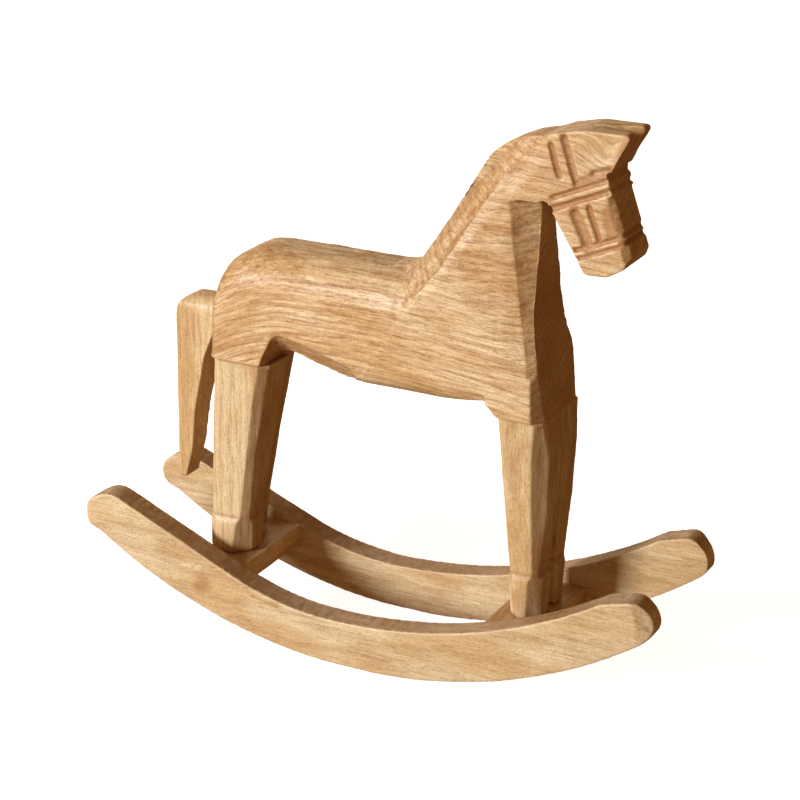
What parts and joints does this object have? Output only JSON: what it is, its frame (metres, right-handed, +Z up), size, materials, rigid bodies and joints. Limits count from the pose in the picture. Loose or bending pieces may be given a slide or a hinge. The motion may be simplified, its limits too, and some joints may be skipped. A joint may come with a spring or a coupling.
{
  "type": "wooden rocking horse figurine",
  "caption": "Hand-carved wooden horse standing on crossbars between a pair of curved rockers, with a separate tail and doweled legs.",
  "frame": {"origin": "midway along and between the two rockers, on the surface that the soles rest on", "axes": "+X is the way the horse faces, +Y its left side, +Z up"},
  "size_m": [0.1999, 0.0556, 0.179],
  "materials": {
    "body_wood": "oiled, satin",
    "tail_wood": "oiled, satin",
    "leg_wood": "oiled, satin",
    "crossbar_wood": "oiled, satin",
    "rocker_wood": "oiled, satin",
    "dowel_wood": "plain"
  },
  "bodies": {
    "root": {"horse_body": "body_wood", "tail": "tail_wood", "leg_front_left": "leg_wood", "leg_front_right": "leg_wood", "leg_hind_left": "leg_wood", "leg_hind_right": "leg_wood", "crossbar_front": "crossbar_wood", "crossbar_rear": "crossbar_wood", "rocker_left": "rocker_wood", "rocker_right": "rocker_wood", "tail_dowel": "dowel_wood", "leg_dowel_front_left": "dowel_wood", "leg_dowel_front_right": "dowel_wood", "leg_dowel_hind_left": "dowel_wood", "leg_dowel_hind_right": "dowel_wood", "foot_dowel_front_left": "dowel_wood", "foot_dowel_front_right": "dowel_wood", "foot_dowel_hind_left": "dowel_wood", "foot_dowel_hind_right": "dowel_wood", "bar_dowel_front_left": "dowel_wood", "bar_dowel_front_right": "dowel_wood", "bar_dowel_rear_left": "dowel_wood", "bar_dowel_rear_right": "dowel_wood"}
  },
  "joints": []
}
